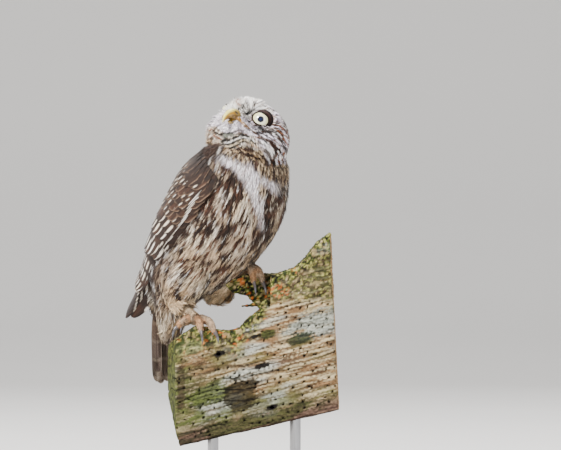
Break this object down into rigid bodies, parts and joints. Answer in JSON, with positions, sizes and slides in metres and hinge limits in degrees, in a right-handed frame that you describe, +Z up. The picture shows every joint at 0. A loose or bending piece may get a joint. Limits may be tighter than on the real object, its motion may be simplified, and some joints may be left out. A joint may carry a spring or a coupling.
{
  "type": "little owl on a timber perch, still model with stand",
  "caption": "Life-size still model of a small owl gripping the broken end of an old timber, looking up and over its shoulder, on a plain rod stand.",
  "frame": {"origin": "middle of the stand base's underside", "axes": "+X to the viewer's right along the timber, +Y away from the viewer, +Z up"},
  "size_m": [0.172, 0.1183, 0.2941],
  "materials": {
    "plumage": "matt feather, dark brown with white spots",
    "flank": "soft loose feather, buff and cream streaked brown",
    "leg": "short dense buff feather and bristle",
    "eye": "wet gloss, pale lemon iris and black pupil",
    "bill": "satin horn, yellow to olive",
    "claw": "satin horn, near black",
    "timber": "weathered, cracked grain with green moss and lichen",
    "base": "dark stained, satin",
    "rod": "brushed"
  },
  "bodies": {
    "root": {"head": "plumage", "neck": "plumage", "torso": "flank", "tail": "plumage", "wing_left": "plumage", "wing_right": "plumage", "leg_left": "leg", "leg_right": "leg", "foot_left": "leg", "foot_right": "leg", "claw_left_inner": "claw", "claw_left_middle": "claw", "claw_left_outer": "claw", "claw_left_hind": "claw", "claw_right_inner": "claw", "claw_right_middle": "claw", "claw_right_outer": "claw", "claw_right_hind": "claw", "eye_left": "eye", "eye_right": "eye", "bill_upper": "bill", "bill_lower": "bill", "perch_timber": "timber", "stand_base": "base", "stand_rod_1": "rod", "stand_rod_2": "rod"}
  },
  "joints": []
}
